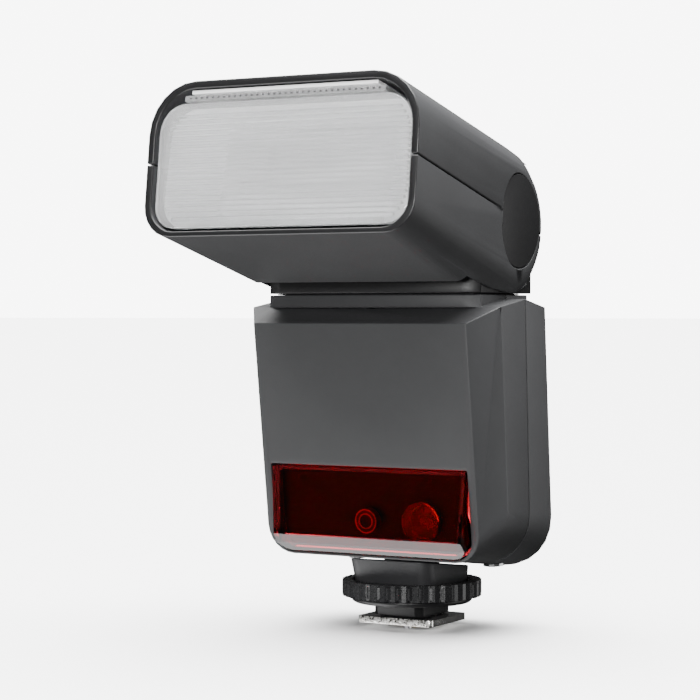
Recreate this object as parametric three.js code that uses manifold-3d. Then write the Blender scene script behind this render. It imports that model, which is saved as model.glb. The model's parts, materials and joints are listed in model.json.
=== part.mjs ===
// Shoe-mount speedlight flash with a tilting, swivelling, zooming head.
// Millimetres, +Z up. The origin is the centre of the shoe foot's underside, and the light leaves towards -Y.
import * as THREE from 'three';
import { ConvexGeometry } from 'three/addons/geometries/ConvexGeometry.js';
import { mergeVertices } from 'three/addons/utils/BufferGeometryUtils.js';
import Module from 'manifold-3d';

const wasm = await Module();
wasm.setup();

// ---------------------------------------------------------------- driving dimensions
const DEG = Math.PI / 180;
const GAP = 0.3;                  // clearance between neighbouring pieces
const SINK = 0.5;                 // overlap of two solids that are joined into one
const WALL = 1.8;                 // wall of the moulded covers

// shoe foot and lock ring
const FOOT_WIDTH = 18.4;
const FOOT_LENGTH = 16.2;
const FOOT_THICKNESS = 1.5;
const NECK_WIDTH = 12.2;
const NECK_DEPTH = 14.4;
const NECK_CHAMFER = 1.5;
const FLANGE_BOTTOM = 4.4;
const FLANGE_THICKNESS = 1.1;
const RING_RADIUS = 15.25;
const RING_HEIGHT = 3.5;
const RING_RIBS = 40;
const RING_RIM = 1.9;
const RING_WEB = 1.7;
const RING_CHAMFER = 0.6;
const RIB_DEPTH = 0.45;
const SPINDLE_RADIUS = 7.5;
const PEDESTAL_WIDTH_TOP = 20.8;
const PEDESTAL_AHEAD = 2.2;       // extra depth towards the front at the top
const PEDESTAL_CORNER = 3.2;
const LOCK_PIN_RADIUS = 0.8;
const LOCK_PIN_REACH = 1.2;
const CONTACT_RADIUS = 1.5;
const STEM_RADIUS = 6;            // pedestal stem through the housing's floor

// body housing
const BODY_LEAN = 4.7 * DEG;      // the housing leans forward over the shoe
const BODY_WIDTH = 60.8;
const BODY_HEIGHT = 56.4;
const BODY_BOTTOM_Z = 14.3;
const BODY_SEAM_Y = -1.07;
const BODY_FRONT = 16.0;          // front face ahead of the seam, at the bottom
const FRONT_RAKE = 2.87 * DEG;    // the front face leans this much more than the housing
const BODY_REAR = 18.8;           // rear face behind the seam
const SIDE_AHEAD = 11.4;          // flat side ahead of the seam, at the top
const SIDE_BEHIND = 9.3;          // flat side behind the seam, at the top
const SIDE_DRAW = 1.0 * DEG;      // each side runs in towards the bottom
const SIDE_SHIFT = 1.7 * DEG;     // and its two edges run back
const FLOOR_SLOPE = 6.8 * DEG;    // the floor drops towards the rear
const FLOOR_DROP = 0.9;           // and under the seam lies this much lower
const FACET_WIDTH = 4.6;
const REAR_FACET_WIDTH = 6.0;
const BODY_CORNER = 11.5;         // bottom corners
const FACE_CORNER = 6.0;          // and those of the front face
const SHOULDER_SLOPE = 21.9 * DEG; // the roof's fall over the front facet
const ROOF_FRONT_DROP = 0.7;
const ROOF_REAR_SLOPE = 0.266;

// swivel and tilt
const SWIVEL_Y = -6.5;
const COLLAR_SIDE = 5.8;          // the collar's side inside the head's widest
const COLLAR_DEPTH = 25.4;
const COLLAR_CHAMFER_X = 3.9;
const COLLAR_CHAMFER_Y = 1.95;
const COLLAR_RISE = 0.85;         // collar above the roof's ridge
const COLLAR_PLATE = 2.75;
const SWIVEL_TUBE_RADIUS = 9.0;
const SWIVEL_TUBE_BORE = 6.0;
const RETAINER_THICKNESS = 1.6;
const RETAINER_RADIUS = 11.0;
const PIVOT_Y = -4.8;
const PIVOT_RISE = 15.55;         // tilt axis above the collar
const KNUCKLE_RADIUS = 13.0;
const KNUCKLE_OVERHANG = 2.0;     // the knuckle's drum past its base's rear edge
const KNUCKLE_BASE = 1.75;
const TILT_SHAFT_RADIUS = 3.6;
const DETENT_ROOM = 3.8;          // the detent disc's edge inside the drum's cavity
const DETENT_THICKNESS = 2.2;
const DETENT_SPRING = { gap: 0.6, thickness: 0.6, half: 6 };
const TILT_DOWN = 7 * DEG;        // tilt left below the straight-ahead pose
const TILT_UP = 90 * DEG;         // and above it

// head
const HEAD_REST = 12.4 * DEG;     // the head's axis above level when it points straight ahead
const HEAD_WIDTH = 63.4;
const HEAD_TAPER = 3.5 * DEG;     // each side runs in towards the rear
const HEAD_LENGTH = 53.1;         // tilt axis to the front's top edge
const HEAD_RAKE = 5.8 * DEG;      // the top edge overhangs the bottom edge
const HEAD_FRONT_HEIGHT = 31.8;
const HEAD_FRONT_RISE = 0.9;      // middle of the front above the tilt axis
const HEAD_CORNER_TOP = 10.9;
const HEAD_CORNER_BOTTOM = 6.5;
const DRUM_RADIUS = 17.6;         // round rear of the head, with soft rims
const DRUM_RIM = 7.8;
const DRUM_AHEAD = 0.7;           // its centre ahead of the tilt axis and below it
const DRUM_BELOW = 0.75;
const HEAD_SEAM = 0.0;            // the cover split above the tilt axis
const HEAD_WALL = 1.6;
const PIVOT_CAP_RADIUS = 9.9;
const PIVOT_CAP_THICKNESS = 0.5;
const CAP_GAP = 0.2;              // the caps sit closer in their seats than other pieces
const LENS_THICKNESS = 1.8;
const LENS_RECESS = 0.9;
const CARD_SIDE = 9.9;            // the card's edge inside the head's side
const CARD_THICKNESS = 0.7;
const CARD_LENGTH = 36;
const DIFFUSER_SIDE = 8.2;        // and the wide panel's
const DIFFUSER_THICKNESS = 1.1;
const DIFFUSER_LENGTH = 36;
const REFLECTOR_SIDE = 12.7;      // room for guides and screw beside the reflector
const REFLECTOR_HEIGHT = 20;
const REFLECTOR_DEPTH = 13;
const REFLECTOR_WALL = 0.8;
const TUBE_RADIUS = 1.9;
const GUIDE_RADIUS = 1.0;
const SCREW_RADIUS = 1.4;
const ZOOM_TRAVEL = 10;
const MOTOR = { radius: 3.9, length: 8.7 };
const COIL = { radius: 3, length: 10 };

// rear panel, inside the body and its window
const DISPLAY_WIDTH = 38;
const DISPLAY_HEIGHT = 18.5;
const DISPLAY_LOW = 29;
const DISPLAY_PANE = 1.4;
const DISPLAY_BORDER = 1;
const BUTTON_WIDTH = 8;
const BUTTON_HEIGHT = 5;
const BUTTON_PROUD = 1.0;
const KEY_FLANGE = 0.8;
const BUTTON_MARGIN = 0.6544;     // a key's side to the edge of the rear cover's inner flat
const DIAL_RADIUS = 9.5;
const DIAL_Z = 16;
const SET_RADIUS = 4.8;
const WINDOW_TOP = 21.8;
const WINDOW_BOTTOM = 3.2;
const WINDOW_CORNER = 4.0;
const WINDOW_CREASE = 7.05;
const WINDOW_BULGE = 2.7;
const WINDOW_WIDTH = 47.3;
const WINDOW_WALL = 1.3;
const BOARD_FACE = BODY_REAR - 7.6;
const BOARD_THICKNESS = 1.6;
const BOARD_INSET = 4.6;
const PACK_LENGTH = 50;
const PACK_DEPTH = 14.8;
const PACK_HEIGHT = 26;
const PACK_LOW = 10;
const PACK_Y = 0.2;
const CAPACITOR_RADIUS = 6.4;
const CAPACITOR_LENGTH = 42;
const TRANSFORMER = { width: 16, depth: 5.0, height: 10, low: 26 };

// ---------------------------------------------------------------- worked-out places
const RING_BOTTOM = FLANGE_BOTTOM + FLANGE_THICKNESS + GAP;
const RING_TOP = RING_BOTTOM + RING_HEIGHT;
const SPINDLE_TOP = RING_BOTTOM + RING_WEB;
const DISH_RADIUS = RING_RADIUS - RING_RIM - RING_CHAMFER;
const ROOF_RIDGE_Z = BODY_BOTTOM_Z + BODY_HEIGHT * Math.cos(BODY_LEAN);
const COLLAR_TOP = ROOF_RIDGE_Z + COLLAR_RISE;
const RETAINER_TOP = COLLAR_TOP - COLLAR_PLATE - GAP;
const RETAINER_LOW = RETAINER_TOP - RETAINER_THICKNESS;
const PIVOT_Z = COLLAR_TOP + PIVOT_RISE;
const DRUM_HALF = HEAD_WIDTH / 2 - HEAD_LENGTH * Math.tan(HEAD_TAPER);
const COLLAR_WIDTH = HEAD_WIDTH - 2 * COLLAR_SIDE;
const KNUCKLE_HALF = COLLAR_WIDTH / 2;
const BASE_REAR = PIVOT_Y + KNUCKLE_RADIUS - KNUCKLE_OVERHANG;
const DETENT_RADIUS = KNUCKLE_RADIUS - WALL - DETENT_ROOM;
const SPRING_Y = DETENT_RADIUS + DETENT_SPRING.gap;
const CARD_WIDTH = HEAD_WIDTH - 2 * CARD_SIDE;
const DIFFUSER_WIDTH = HEAD_WIDTH - 2 * DIFFUSER_SIDE;
const REFLECTOR_WIDTH = HEAD_WIDTH - 2 * REFLECTOR_SIDE;
const FACET_TURN = Math.atan2(FACET_WIDTH, BODY_FRONT - SIDE_AHEAD) / 2;
const REAR_FLAT = BODY_WIDTH / 2 - REAR_FACET_WIDTH - WALL * Math.tan(Math.PI / 4 - FACET_TURN);
const BUTTON_X = REAR_FLAT - BUTTON_WIDTH / 2 - BUTTON_MARGIN;
const EAR_REACH = PIVOT_RISE - GAP;
const EAR_INNER = COLLAR_WIDTH / 2 + GAP;
const HEAD_TOP = HEAD_FRONT_RISE + HEAD_FRONT_HEIGHT / 2;
const HEAD_BOTTOM = HEAD_FRONT_RISE - HEAD_FRONT_HEIGHT / 2;
const FLOOR_AT = (y) => -FLOOR_DROP - y * Math.tan(BODY_LEAN + FLOOR_SLOPE);
const FRONT_AT = (z) => -BODY_FRONT - z * Math.tan(FRONT_RAKE);
const HEAD_FACE_AT = (z) => -HEAD_LENGTH + (HEAD_TOP - z) * Math.tan(HEAD_RAKE);
const REAR_INNER = BODY_REAR - WALL;

// ---------------------------------------------------------------- solids and booleans
const vec = (x, y, z) => new THREE.Vector3(x, y, z);

/** Vertices merged, collapsed triangles dropped and faces turned outward. */
function closed(geometry) {
  const bare = geometry.clone();
  for (const name of Object.keys(bare.attributes)) {
    if (name !== 'position') bare.deleteAttribute(name);
  }
  const merged = mergeVertices(bare, 1e-4);
  const place = merged.attributes.position;
  const kept = [];
  let volume = 0;
  for (let i = 0; i < merged.index.count; i += 3) {
    const [a, b, c] = [0, 1, 2].map((k) => merged.index.getX(i + k));
    if (a === b || b === c || c === a) continue;
    kept.push(a, b, c);
    const [p, q, r] = [a, b, c].map((k) => new THREE.Vector3().fromBufferAttribute(place, k));
    volume += p.dot(q.cross(r));
  }
  if (volume < 0) {
    for (let i = 0; i < kept.length; i += 3) [kept[i], kept[i + 1]] = [kept[i + 1], kept[i]];
  }
  merged.setIndex(kept);
  return merged;
}

function toManifold(geometry) {
  const mesh = closed(geometry);
  return new wasm.Manifold(new wasm.Mesh({
    numProp: 3,
    vertProperties: Float32Array.from(mesh.attributes.position.array),
    triVerts: Uint32Array.from(mesh.index.array),
  }));
}

function toGeometry(manifold) {
  const mesh = manifold.getMesh();
  const geometry = new THREE.BufferGeometry();
  const position = [];
  for (let i = 0; i < mesh.vertProperties.length; i += mesh.numProp) {
    position.push(mesh.vertProperties[i], mesh.vertProperties[i + 1], mesh.vertProperties[i + 2]);
  }
  geometry.setAttribute('position', new THREE.Float32BufferAttribute(position, 3));
  geometry.setIndex(Array.from(mesh.triVerts));
  return geometry;
}

const fold = (operation) => (base, ...tools) =>
  toGeometry(tools.flat().reduce((solid, tool) => solid[operation](toManifold(tool)), toManifold(base)));
const cut = fold('subtract');
const join = fold('add');
const common = fold('intersect');

// ---------------------------------------------------------------- basic shapes
const AXES = {
  x: new THREE.Matrix4().makeBasis(vec(0, 1, 0), vec(0, 0, 1), vec(1, 0, 0)),
  y: new THREE.Matrix4().makeBasis(vec(1, 0, 0), vec(0, 0, 1), vec(0, -1, 0)),
  z: new THREE.Matrix4(),
};

function box(x0, x1, y0, y1, z0, z1) {
  const solid = new THREE.BoxGeometry(x1 - x0, y1 - y0, z1 - z0);
  return solid.translate((x0 + x1) / 2, (y0 + y1) / 2, (z0 + z1) / 2);
}

/** A shape pulled along an axis. Its own two directions are YZ on x, XZ on y and XY on z. */
function slab(shape, axis, from, to, curveSegments = 8) {
  const solid = new THREE.ExtrudeGeometry(shape, { depth: to - from, bevelEnabled: false, curveSegments });
  solid.applyMatrix4(AXES[axis]);
  const start = axis === 'y' ? to : from;
  return solid.translate(axis === 'x' ? start : 0, axis === 'y' ? start : 0, axis === 'z' ? start : 0);
}

function disc(radius, u, v) {
  const shape = new THREE.Shape();
  shape.absarc(u, v, radius, 0, 2 * Math.PI, false);
  return shape;
}

const rod = (axis, radius, u, v, from, to, sides = 24) => slab(disc(radius, u, v), axis, from, to, sides / 2);

function polygon(points) {
  return new THREE.Shape(points.map(([u, v]) => new THREE.Vector2(u, v)));
}

/** A rectangle with round corners. Radii run from the low-left corner anticlockwise, or are one number. */
function rounded(u0, u1, v0, v1, radius) {
  const [a, b, c, d] = Array.isArray(radius) ? radius : [radius, radius, radius, radius];
  const shape = new THREE.Shape();
  shape.moveTo(u0 + a, v0);
  shape.lineTo(u1 - b, v0);
  shape.absarc(u1 - b, v0 + b, b, -Math.PI / 2, 0, false);
  shape.lineTo(u1, v1 - c);
  shape.absarc(u1 - c, v1 - c, c, 0, Math.PI / 2, false);
  shape.lineTo(u0 + d, v1);
  shape.absarc(u0 + d, v1 - d, d, Math.PI / 2, Math.PI, false);
  shape.lineTo(u0, v0 + a);
  shape.absarc(u0 + a, v0 + a, a, Math.PI, 1.5 * Math.PI, false);
  return shape;
}

/** A profile of [radius, height] points turned about a vertical axis. */
function turned(profile, sides = 36) {
  const points = profile.map(([r, z]) => new THREE.Vector2(r, z));
  return new THREE.LatheGeometry(points, sides).rotateX(Math.PI / 2);
}

/** A skin over convex rings that all have the same number of points. */
function loft(rings) {
  const count = rings[0].length;
  const faces = [];
  for (let r = 0; r + 1 < rings.length; r += 1) {
    for (let i = 0; i < count; i += 1) {
      const a = r * count + i;
      const b = r * count + (i + 1) % count;
      faces.push(a, b, b + count, a, b + count, a + count);
    }
  }
  const last = (rings.length - 1) * count;
  for (let i = 1; i + 1 < count; i += 1) {
    faces.push(0, i + 1, i, last, last + i, last + i + 1);
  }
  const geometry = new THREE.BufferGeometry();
  const position = rings.flat().flatMap((p) => p.toArray());
  geometry.setAttribute('position', new THREE.Float32BufferAttribute(position, 3));
  geometry.setIndex(faces);
  return geometry;
}

/** Points [u, v] around a rounded rectangle, the same count whatever its size. */
function ringPoints(halfWidth, low, high, radiusLow, radiusHigh, steps = 6) {
  const corners = [
    [halfWidth - radiusHigh, high - radiusHigh, radiusHigh, 0],
    [-halfWidth + radiusHigh, high - radiusHigh, radiusHigh, 90],
    [-halfWidth + radiusLow, low + radiusLow, radiusLow, 180],
    [halfWidth - radiusLow, low + radiusLow, radiusLow, 270],
  ];
  return corners.flatMap(([u, v, radius, start]) => Array.from({ length: steps + 1 }, (_, i) => {
    const angle = (start + 90 * i / steps) * DEG;
    return [u + radius * Math.cos(angle), v + radius * Math.sin(angle)];
  }));
}

// ---------------------------------------------------------------- frames and materials
const part = new THREE.Group();
const bodyGroup = new THREE.Group();
bodyGroup.position.set(0, BODY_SEAM_Y, BODY_BOTTOM_Z);
bodyGroup.rotation.x = BODY_LEAN;
const headGroup = new THREE.Group();
headGroup.position.set(0, PIVOT_Y, PIVOT_Z);
headGroup.rotation.x = -HEAD_REST;
part.add(bodyGroup, headGroup);

const bodyFrame = new THREE.Matrix4().makeRotationX(BODY_LEAN).setPosition(0, BODY_SEAM_Y, BODY_BOTTOM_Z);
const inBody = (geometry) => geometry.applyMatrix4(bodyFrame.clone().invert());
const fromBody = (geometry) => geometry.applyMatrix4(bodyFrame);
const lowestHead = new THREE.Matrix4().makeRotationX(TILT_DOWN - HEAD_REST).setPosition(0, PIVOT_Y, PIVOT_Z);
const inLowestHead = (geometry) => geometry.applyMatrix4(lowestHead.clone().invert());

const finish = (color, roughness, metalness = 0, opacity = 1) => new THREE.MeshStandardMaterial({
  color, roughness, metalness, opacity, transparent: opacity < 1, flatShading: true,
});
const MATERIAL = {
  housing: finish(0x3c3d3e, 0.62),
  trim: finish(0x1c1c1e, 0.5),
  ring: finish(0x1a1a1b, 0.42),
  pedestal: finish(0x2a2a2c, 0.55),
  nickel: finish(0xd8d6d0, 0.25, 1),
  steel: finish(0xa8a9ab, 0.35, 1),
  brass: finish(0xc9a45a, 0.3, 1),
  red: finish(0x5a0710, 0.12, 0, 0.6),
  clear: finish(0xe8eef2, 0.08, 0, 0.4),
  diffuser: finish(0xf2f4f6, 0.3, 0, 0.7),
  card: finish(0xf4f4f2, 0.55),
  mirror: finish(0xe6e8ea, 0.08, 1),
  board: finish(0x14402c, 0.5),
  key: finish(0x4a4b4d, 0.55),
  rubber: finish(0x202022, 0.8),
  display: finish(0x9db0a4, 0.3),
  cell: finish(0x303438, 0.5),
  sleeve: finish(0x20242c, 0.4),
};

function add(group, name, geometry, material) {
  const mesh = new THREE.Mesh(closed(geometry), material);
  mesh.name = name;
  group.add(mesh);
}

// ---------------------------------------------------------------- shoe foot and lock ring
function chamfered(width, depth, chamfer) {
  const [w, d] = [width / 2, depth / 2];
  return polygon([[w - chamfer, -d], [w, -d + chamfer], [w, d - chamfer], [w - chamfer, d],
    [-w + chamfer, d], [-w, d - chamfer], [-w, -d + chamfer], [-w + chamfer, -d]]);
}

const CONTACT_PLUG = NECK_WIDTH - 1.6;
const PIN_PLACE = [0.7, -CONTACT_PLUG / 2 + 2.2];
const SIGNAL_PLACES = [[3.6, 0.6], [-3.6, 0.6], [3.2, 3.6], [-3.2, 3.6]];
const SIGNAL_RADIUS = 0.7;
const SIGNAL_TOP = FOOT_THICKNESS + GAP + 1.2;
const PLUG_RECESS = 0.1;          // the contact plug's face above the foot's underside

function footPlate() {
  const edge = 0.9;
  const outline = rounded(-FOOT_WIDTH / 2, FOOT_WIDTH / 2, -FOOT_LENGTH / 2, FOOT_LENGTH / 2, edge);
  const window = chamfered(CONTACT_PLUG + 2 * GAP, CONTACT_PLUG + 2 * GAP, NECK_CHAMFER);
  return cut(slab(outline, 'z', 0, FOOT_THICKNESS, 4), slab(window, 'z', -1, FOOT_THICKNESS + 1));
}

function footBlock() {
  const bevel = 0.6;
  const flangeRadius = RING_RADIUS - RING_RIM;
  const neckPlan = chamfered(NECK_WIDTH, NECK_DEPTH, NECK_CHAMFER);
  const plugPlan = chamfered(CONTACT_PLUG, CONTACT_PLUG, NECK_CHAMFER);
  const neck = slab(neckPlan, 'z', FOOT_THICKNESS + GAP, FLANGE_BOTTOM + SINK);
  const plug = slab(plugPlan, 'z', PLUG_RECESS, FOOT_THICKNESS + GAP + SINK);
  const flange = turned([[0, FLANGE_BOTTOM], [flangeRadius - bevel, FLANGE_BOTTOM],
    [flangeRadius, FLANGE_BOTTOM + bevel], [flangeRadius, FLANGE_BOTTOM + FLANGE_THICKNESS],
    [0, FLANGE_BOTTOM + FLANGE_THICKNESS]]);
  const spindle = rod('z', SPINDLE_RADIUS, 0, 0, FLANGE_BOTTOM + SINK, SPINDLE_TOP);
  const centreBore = rod('z', CONTACT_RADIUS + GAP, 0, 0, -1, SPINDLE_TOP + 1, 16);
  const pinBore = rod('z', LOCK_PIN_RADIUS + GAP, ...PIN_PLACE, -1, SPINDLE_TOP + 1, 12);
  const signalBores = SIGNAL_PLACES.map(([x, y]) =>
    rod('z', SIGNAL_RADIUS + GAP, x, y, -1, SIGNAL_TOP + GAP, 10));
  return cut(join(neck, plug, flange, spindle), centreBore, pinBore, signalBores);
}

/** The knurled ring: ribs on its rim, and a dish on top that the pedestal stands in. */
function lockRing() {
  const points = [];
  for (let i = 0; i < RING_RIBS; i += 1) {
    for (const [share, depth] of [[0, RIB_DEPTH], [0.3, 0], [0.7, 0]]) {
      const angle = 2 * Math.PI * (i + share) / RING_RIBS;
      points.push([(RING_RADIUS - depth) * Math.cos(angle), (RING_RADIUS - depth) * Math.sin(angle)]);
    }
  }
  const ribbed = slab(polygon(points), 'z', RING_BOTTOM, RING_TOP);
  const dish = turned([[0, RING_BOTTOM + RING_WEB], [DISH_RADIUS, RING_BOTTOM + RING_WEB],
    [RING_RADIUS - RING_RIM, RING_TOP + 1], [0, RING_TOP + 1]]);
  const bore = rod('z', SPINDLE_RADIUS + GAP, 0, 0, RING_BOTTOM - 1, RING_TOP + 1);
  return cut(ribbed, dish, bore);
}

function pedestalPiece() {
  const low = SPINDLE_TOP + GAP;
  const high = BODY_BOTTOM_Z + 4;
  const ring = (half, ahead, z) => ringPoints(half, -half - ahead, half, PEDESTAL_CORNER, PEDESTAL_CORNER)
    .map(([x, y]) => vec(x, y, z));
  const halfInDish = (DISH_RADIUS - GAP - PEDESTAL_CORNER) * Math.SQRT1_2 + PEDESTAL_CORNER;
  const tapered = loft([ring(halfInDish, 0, low), ring(PEDESTAL_WIDTH_TOP / 2, PEDESTAL_AHEAD, high)]);
  const reach = 40;
  const above = fromBody(slab(polygon([[-reach, FLOOR_AT(-reach) - GAP], [reach, FLOOR_AT(reach) - GAP],
    [reach, reach], [-reach, reach]]), 'x', -reach, reach));
  const stem = rod('z', STEM_RADIUS, 0, 0, low + 1, BODY_BOTTOM_Z + WALL + 2);
  const wireBore = rod('z', STEM_RADIUS - 2.2, 0, 0, low - 1, high + 4);
  return cut(join(cut(tapered, above), stem), wireBore);
}

add(part, 'foot_plate', footPlate(), MATERIAL.nickel);
add(part, 'foot_block', footBlock(), MATERIAL.trim);
add(part, 'lock_ring', lockRing(), MATERIAL.ring);
add(part, 'pedestal', pedestalPiece(), MATERIAL.pedestal);
add(part, 'centre_contact', join(rod('z', CONTACT_RADIUS, 0, 0, -0.5, FLANGE_BOTTOM, 16),
  rod('z', CONTACT_RADIUS - 0.5, 0, 0, FLANGE_BOTTOM - 0.5, SPINDLE_TOP - 0.6, 16)), MATERIAL.brass);
const lockPin = rod('z', LOCK_PIN_RADIUS, ...PIN_PLACE, -LOCK_PIN_REACH, FLANGE_BOTTOM + 0.8, 12);
add(part, 'lock_pin', lockPin, MATERIAL.steel);
SIGNAL_PLACES.forEach(([x, y], i) => {
  add(part, `signal_contact_${i + 1}`, rod('z', SIGNAL_RADIUS, x, y, -0.2, SIGNAL_TOP, 10), MATERIAL.brass);
});

// ---------------------------------------------------------------- body housing
/** The housing's form: front face, raked facets, flat sides, rear facets. skin takes a wall off all round. */
function bodyForm(skin) {
  const sideShift = skin * Math.tan(FACET_TURN);
  const faceInset = FACET_WIDTH + skin * Math.tan(Math.PI / 4 - FACET_TURN);
  const rearInset = REAR_FACET_WIDTH + skin * Math.tan(Math.PI / 4 - FACET_TURN);
  const corner = BODY_CORNER - skin;
  const shift = (z) => (BODY_HEIGHT - z) * Math.tan(SIDE_SHIFT);
  const overRoof = BODY_HEIGHT + 8;
  const drawn = (x, z, draw) => x - Math.sign(x) * (BODY_HEIGHT - z) * Math.tan(draw);
  const ring = (inset, radius, low, draw, yAt) =>
    ringPoints(BODY_WIDTH / 2 - inset, low + skin, overRoof, Math.max(radius, 1), 0.5)
      .map(([x, z]) => vec(drawn(x, z, draw), yAt(z), z));
  const skinned = loft([
    ring(faceInset, FACE_CORNER - skin, FLOOR_AT(-BODY_FRONT), 0, (z) => FRONT_AT(z) + skin),
    ring(skin, corner, FLOOR_AT(-SIDE_AHEAD), SIDE_DRAW, (z) => -SIDE_AHEAD + shift(z) + sideShift),
    ring(skin, corner, FLOOR_AT(SIDE_BEHIND), SIDE_DRAW, (z) => SIDE_BEHIND + shift(z) - sideShift),
    ring(rearInset, corner, FLOOR_AT(BODY_REAR), 0, () => BODY_REAR - skin),
  ]);
  const ridge = BODY_HEIGHT - skin;
  const shoulder = ridge - ROOF_FRONT_DROP;
  const [reach, under] = [12, -5];
  const [front, rear] = [-SIDE_AHEAD - reach, BODY_REAR + reach];
  const roof = polygon([[-SIDE_AHEAD, shoulder], [front, shoulder - reach * Math.tan(SHOULDER_SLOPE)],
    [front, under], [rear, under], [rear, ridge - ROOF_REAR_SLOPE * rear], [0, ridge]]);
  return common(skinned, slab(roof, 'x', -BODY_WIDTH, BODY_WIDTH));
}

function collarPlan(width, depth) {
  const [w, d, cx, cy] = [width / 2, depth / 2, COLLAR_CHAMFER_X, COLLAR_CHAMFER_Y];
  const [front, rear] = [SWIVEL_Y - d, SWIVEL_Y + d];
  return polygon([[w - cx, front], [w, front + cy], [w, rear - cy], [w - cx, rear],
    [-w + cx, rear], [-w, rear - cy], [-w, front + cy], [-w + cx, front]]);
}

const swivelHole = () => inBody(rod('z', SWIVEL_TUBE_RADIUS + GAP, 0, SWIVEL_Y, 40, 90));

function bodyShell() {
  const plan = collarPlan(COLLAR_WIDTH, COLLAR_DEPTH);
  const collar = inBody(slab(plan, 'z', COLLAR_TOP - COLLAR_PLATE, COLLAR_TOP));
  const stemHole = inBody(rod('z', STEM_RADIUS + GAP, 0, 0, 0, BODY_BOTTOM_Z + 12));
  const retainerPocket = inBody(rod('z', RETAINER_RADIUS + GAP, 0, SWIVEL_Y, 40, RETAINER_TOP + GAP));
  return cut(join(cut(bodyForm(0), bodyForm(WALL)), collar), stemHole, swivelHole(), retainerPocket);
}

/** A side opening with the lower edge stepped for a flap's round hinge edge. */
const FLAP = {
  door: { y0: -7.4, y1: 7.9, z0: 9.6, z1: 36.6, thickness: WALL },
  usb: { y0: -6.0, y1: 6.0, z0: 41.0, z1: 47.0, thickness: 1.2 },
};
const flapAxis = (flap) => [-BODY_WIDTH / 2 + flap.thickness / 2, flap.z0 + flap.thickness / 2];
const DOOR_DEPTH = 4;             // clear depth of the door's opening, over the housing's wall

/** Turns what was made against an upright side to lie in the drawn-in one. */
const inSide = (geometry) => geometry.translate(BODY_WIDTH / 2, 0, -BODY_HEIGHT).rotateY(-SIDE_DRAW)
  .translate(-BODY_WIDTH / 2, 0, BODY_HEIGHT);

function flapOpening(flap, depth) {
  const face = -BODY_WIDTH / 2;
  return inSide(box(face - 1, face + depth, flap.y0 - GAP, flap.y1 + GAP, flap.z0 - GAP, flap.z1 + GAP));
}

/** A flap flush with the side, its lower edge round about the hinge line. */
function flapPiece(flap) {
  const [x, z] = flapAxis(flap);
  const half = flap.thickness / 2;
  const edge = rod('y', half, x, z, flap.y0, flap.y1, 10);
  const plate = box(x - half, x + half, flap.y0, flap.y1, z, flap.z1);
  return inSide(join(plate, edge));
}

const TRAY_WALL = 1.0;
const CONTACT_SPACE = 2.4;        // room for the contacts past the pack's end
const PACK_DOOR_END = -(PACK_LENGTH + CONTACT_SPACE + TRAY_WALL) / 2 - GAP;
const PACK = {
  x0: PACK_DOOR_END,
  x1: PACK_DOOR_END + PACK_LENGTH,
  y0: PACK_Y - PACK_DEPTH / 2,
  y1: PACK_Y + PACK_DEPTH / 2,
  z0: PACK_LOW,
  z1: PACK_LOW + PACK_HEIGHT,
};
const LATCH = { width: 6, height: 3.5, thickness: 0.9, rib: 0.5, travel: 1.5 };
const USB = { z: (FLAP.usb.z0 + FLAP.usb.z1) / 2, width: 8, height: 3.2, length: 6 };
const usbHole = () => inSide(box(-BODY_WIDTH / 2 - 1, -BODY_WIDTH / 2 + USB.length, -USB.width / 2 - GAP,
  USB.width / 2 + GAP, USB.z - USB.height / 2 - GAP, USB.z + USB.height / 2 + GAP));
const sideOpenings = () => [flapOpening(FLAP.door, DOOR_DEPTH), usbHole(),
  flapOpening(FLAP.usb, FLAP.usb.thickness + GAP)];

function windowForm(grow) {
  const half = WINDOW_WIDTH / 2 + grow;
  const levels = [
    [WINDOW_BOTTOM - grow, FRONT_AT(WINDOW_BOTTOM) - 0.2, half - 0.3],
    [WINDOW_BOTTOM + 1.9, FRONT_AT(WINDOW_BOTTOM) - 1.7, half - 0.6],
    [WINDOW_CREASE, FRONT_AT(WINDOW_CREASE) - WINDOW_BULGE, half - 0.8],
    [WINDOW_TOP + grow, FRONT_AT(WINDOW_TOP), half],
  ];
  const back = FRONT_AT(WINDOW_BOTTOM) + WALL + 3;
  const rings = levels.map(([z, y, w]) =>
    [vec(-w, y - grow, z), vec(w, y - grow, z), vec(half, back, z), vec(-half, back, z)]);
  return loft(rings);
}

const windowShape = (grow) => rounded(-WINDOW_WIDTH / 2 - grow, WINDOW_WIDTH / 2 + grow,
  WINDOW_BOTTOM - grow, WINDOW_TOP + grow, [WINDOW_CORNER + grow, WINDOW_CORNER + grow, 0.4, 0.4]);

/** The clear red window: a wedge that stands proud towards its lower edge, hollow from behind. */
function windowPiece() {
  const outline = (grow) => slab(windowShape(grow), 'y', -40, 0, 6);
  const inside = common(windowForm(-WINDOW_WALL), outline(-WINDOW_WALL));
  const shell = cut(common(windowForm(0), outline(0)), inside);
  return common(shell, box(-40, 40, -40, FRONT_AT(WINDOW_BOTTOM) + WALL - 0.4, -5, 60));
}

function frontCover() {
  const ahead = box(-60, 60, -60, -GAP / 2, -20, 90);
  const windowHole = slab(windowShape(GAP), 'y', -40, FRONT_AT(0) + WALL + 4, 6);
  return cut(common(bodyShell(), ahead), windowHole, sideOpenings());
}

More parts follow.
